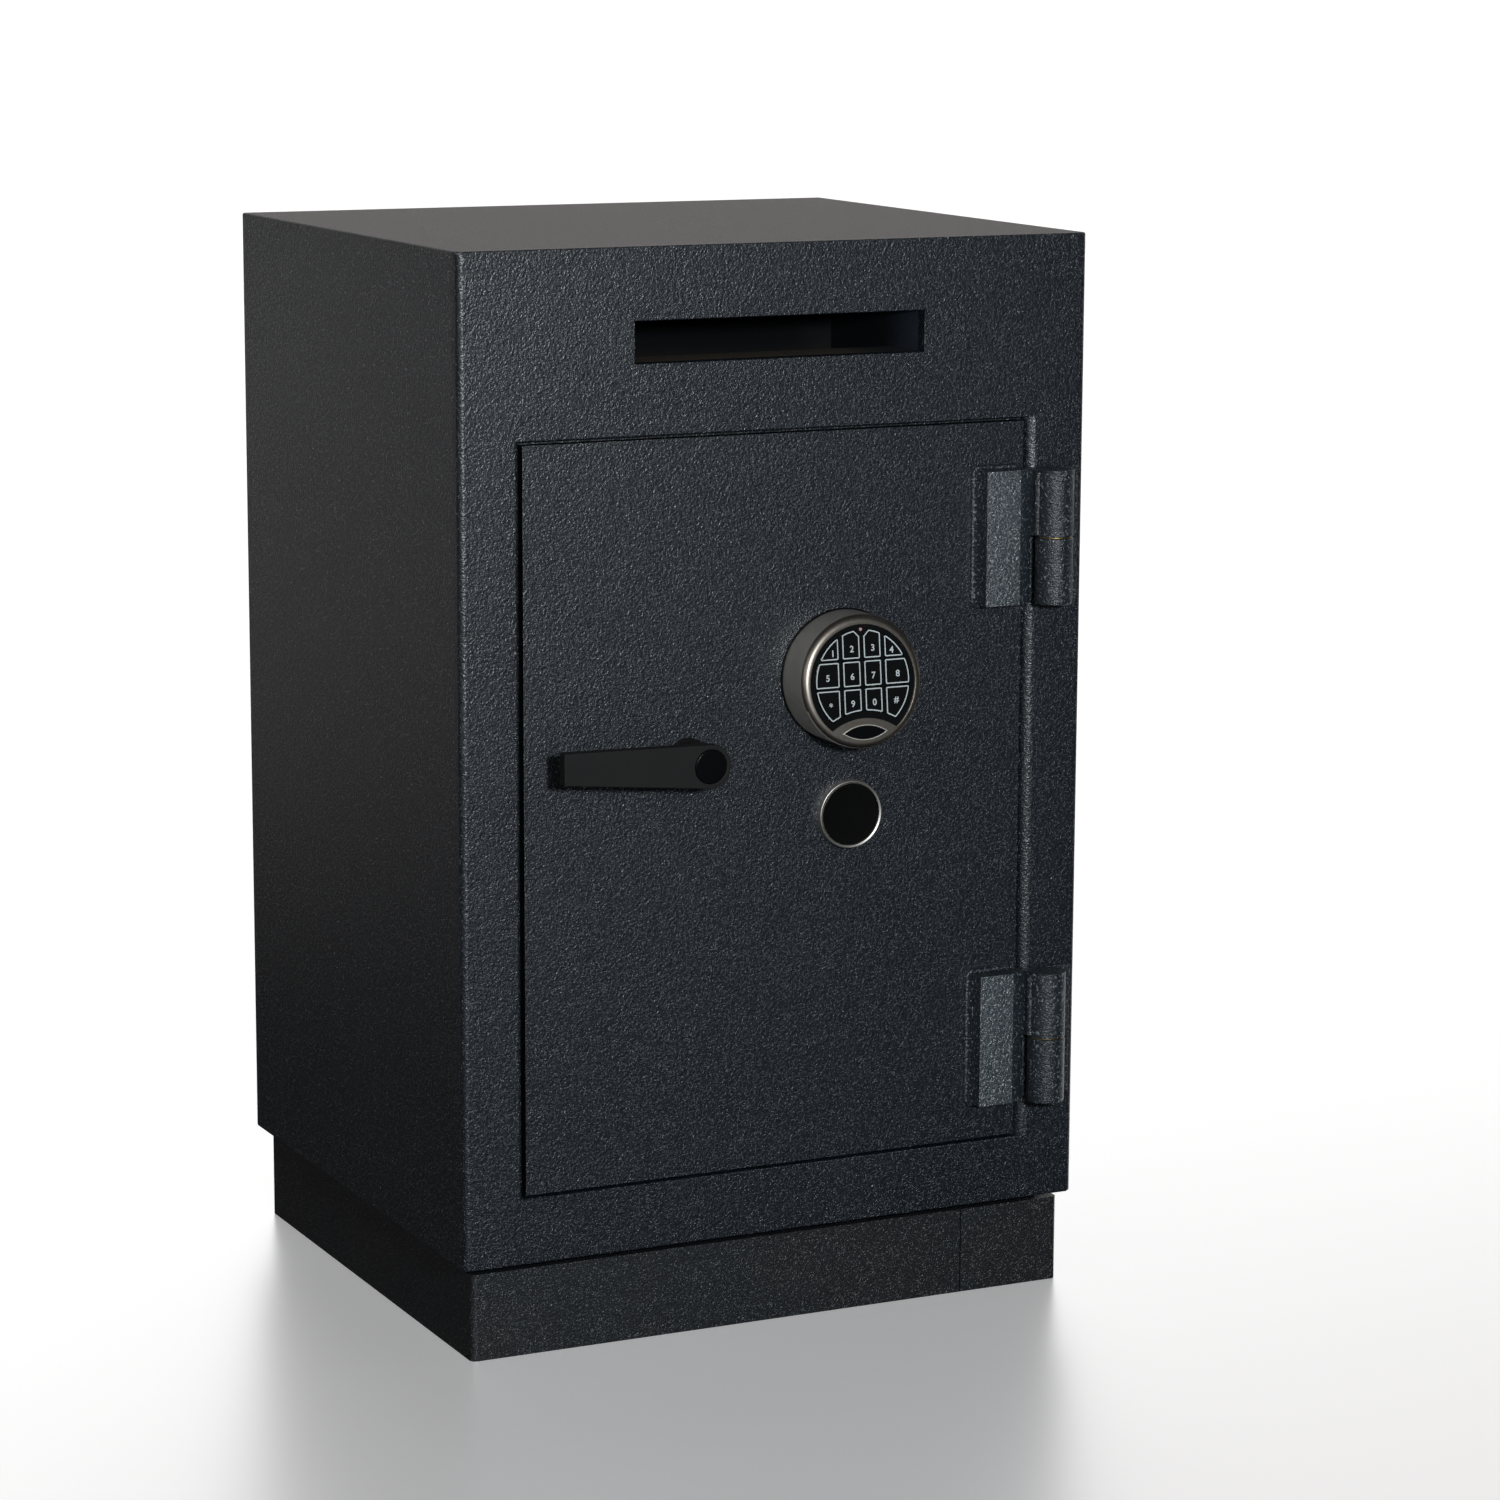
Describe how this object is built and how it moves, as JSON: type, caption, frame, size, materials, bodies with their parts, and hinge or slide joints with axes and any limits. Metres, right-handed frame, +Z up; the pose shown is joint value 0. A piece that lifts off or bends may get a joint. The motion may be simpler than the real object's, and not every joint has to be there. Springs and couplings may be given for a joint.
{
  "type": "drop safe",
  "caption": "Free-standing drop safe with a deposit slot above a hinged door, lever handle, round keypad, covered key lock, boltwork and plinth.",
  "frame": {"origin": "middle of the four floor anchor holes, on the underside of the plinth", "axes": "+X to the right seen from the front, +Y towards the back, +Z up"},
  "size_m": [0.5, 0.4825, 0.8],
  "materials": {
    "textured_paint": "anthracite blue-grey powder coat with a fine leather texture",
    "smooth_paint": "dark grey paint, smooth semi-gloss, inside",
    "barrier_fill": "cast concrete fill between the skins",
    "plated_steel": "zinc-plated steel",
    "ground_steel": "ground and plated round bolts",
    "brass": "plain brass",
    "black_metal": "matt black powder coat",
    "black_plastic": "black plastic, satin",
    "satin_nickel": "brushed satin nickel with a warm tint",
    "keypad_face": "black semi-gloss face",
    "keypad_keys": "black keys with a pale outline and number",
    "circuit_board": "green circuit board",
    "battery": "printed battery jacket, plain",
    "led_lens": "clear lamp lens"
  },
  "bodies": {
    "cabinet": {"outer_shell": "textured_paint", "front_frame": "textured_paint", "frame_fill": "barrier_fill", "barrier_fill": "barrier_fill", "inner_liner": "smooth_paint", "plinth_frame": "textured_paint", "anchor_sleeves": "plated_steel", "plinth_bolts": "plated_steel", "deposit_chute": "smooth_paint", "anti_fishing_comb": "plated_steel", "hinge_frame_leaves": "textured_paint", "hinge_pins": "plated_steel", "hinge_washers": "brass", "bolt_keepers": "plated_steel"},
    "door": {"door_plate": "textured_paint", "door_tray": "smooth_paint", "door_fill": "barrier_fill", "hinge_door_leaves": "textured_paint", "dog_bar": "plated_steel", "bolt_guide": "plated_steel", "boltwork_cover": "smooth_paint", "cover_screws": "plated_steel", "carriage_posts": "plated_steel", "handle_bush": "brass", "handle_rose": "black_metal", "lock_case": "plated_steel", "lock_screws": "black_plastic", "keypad_base": "black_plastic", "keypad_housing": "satin_nickel", "keypad_face": "keypad_face", "keypad_board": "circuit_board", "keypad_battery": "battery", "keypad_badge": "black_plastic", "led_lens": "led_lens", "keypad_cable": "black_plastic", "key_escutcheon": "satin_nickel", "key_lock": "plated_steel"},
    "handle": {"handle_lever": "black_metal", "handle_cap": "black_plastic", "handle_spindle": "plated_steel", "cam_disc": "plated_steel"},
    "carriage": {"bolt_carriage": "plated_steel", "locking_bolts": "ground_steel"},
    "lock_bolt": {"lock_bolt": "brass"},
    "key_cover": {"key_cover": "black_plastic"},
    "key_star": {"key_star": "keypad_keys"},
    "key_9": {"key_9": "keypad_keys"},
    "key_0": {"key_0": "keypad_keys"},
    "key_hash": {"key_hash": "keypad_keys"},
    "key_5": {"key_5": "keypad_keys"},
    "key_6": {"key_6": "keypad_keys"},
    "key_7": {"key_7": "keypad_keys"},
    "key_8": {"key_8": "keypad_keys"},
    "key_1": {"key_1": "keypad_keys"},
    "key_2": {"key_2": "keypad_keys"},
    "key_3": {"key_3": "keypad_keys"},
    "key_4": {"key_4": "keypad_keys"}
  },
  "joints": [
    {"name": "door_hinge", "type": "hinge", "parent": "cabinet", "child": "door", "pos_m": [0.216, -0.2373, 0.4], "axis": [0, 0, 1], "range_deg": [0, 170]},
    {"name": "handle_turn", "type": "hinge", "parent": "door", "child": "handle", "pos_m": [-0.075, -0.25, 0.433], "axis": [0, -1, 0], "range_deg": [0, 90]},
    {"name": "bolt_throw", "type": "slide", "parent": "door", "child": "carriage", "axis": [-1, 0, 0], "range_m": [0, 0.02]},
    {"name": "lock_bolt_throw", "type": "slide", "parent": "door", "child": "lock_bolt", "axis": [-1, 0, 0], "range_m": [0, 0.013]},
    {"name": "key_cover_pull", "type": "slide", "parent": "door", "child": "key_cover", "axis": [0, -1, 0], "range_m": [0, 0.01]},
    {"name": "key_star_press", "type": "slide", "parent": "door", "child": "key_star", "axis": [0, 0.9945, -0.1045], "range_m": [0, 0.0008], "stiffness_N_per_m": 1500, "springref_m": -0.0003},
    {"name": "key_9_press", "type": "slide", "parent": "door", "child": "key_9", "axis": [0, 0.9945, -0.1045], "range_m": [0, 0.0008], "stiffness_N_per_m": 1500, "springref_m": -0.0003},
    {"name": "key_0_press", "type": "slide", "parent": "door", "child": "key_0", "axis": [0, 0.9945, -0.1045], "range_m": [0, 0.0008], "stiffness_N_per_m": 1500, "springref_m": -0.0003},
    {"name": "key_hash_press", "type": "slide", "parent": "door", "child": "key_hash", "axis": [0, 0.9945, -0.1045], "range_m": [0, 0.0008], "stiffness_N_per_m": 1500, "springref_m": -0.0003},
    {"name": "key_5_press", "type": "slide", "parent": "door", "child": "key_5", "axis": [0, 0.9945, -0.1045], "range_m": [0, 0.0008], "stiffness_N_per_m": 1500, "springref_m": -0.0003},
    {"name": "key_6_press", "type": "slide", "parent": "door", "child": "key_6", "axis": [0, 0.9945, -0.1045], "range_m": [0, 0.0008], "stiffness_N_per_m": 1500, "springref_m": -0.0003},
    {"name": "key_7_press", "type": "slide", "parent": "door", "child": "key_7", "axis": [0, 0.9945, -0.1045], "range_m": [0, 0.0008], "stiffness_N_per_m": 1500, "springref_m": -0.0003},
    {"name": "key_8_press", "type": "slide", "parent": "door", "child": "key_8", "axis": [0, 0.9945, -0.1045], "range_m": [0, 0.0008], "stiffness_N_per_m": 1500, "springref_m": -0.0003},
    {"name": "key_1_press", "type": "slide", "parent": "door", "child": "key_1", "axis": [0, 0.9945, -0.1045], "range_m": [0, 0.0008], "stiffness_N_per_m": 1500, "springref_m": -0.0003},
    {"name": "key_2_press", "type": "slide", "parent": "door", "child": "key_2", "axis": [0, 0.9945, -0.1045], "range_m": [0, 0.0008], "stiffness_N_per_m": 1500, "springref_m": -0.0003},
    {"name": "key_3_press", "type": "slide", "parent": "door", "child": "key_3", "axis": [0, 0.9945, -0.1045], "range_m": [0, 0.0008], "stiffness_N_per_m": 1500, "springref_m": -0.0003},
    {"name": "key_4_press", "type": "slide", "parent": "door", "child": "key_4", "axis": [0, 0.9945, -0.1045], "range_m": [0, 0.0008], "stiffness_N_per_m": 1500, "springref_m": -0.0003}
  ],
  "couplings": [
    {"joint": "bolt_throw", "follows": "handle_turn", "m_per_rad": 0.01273},
    {"joint": "lock_bolt_throw", "follows": "handle_turn", "m_per_rad": 0.008276}
  ]
}
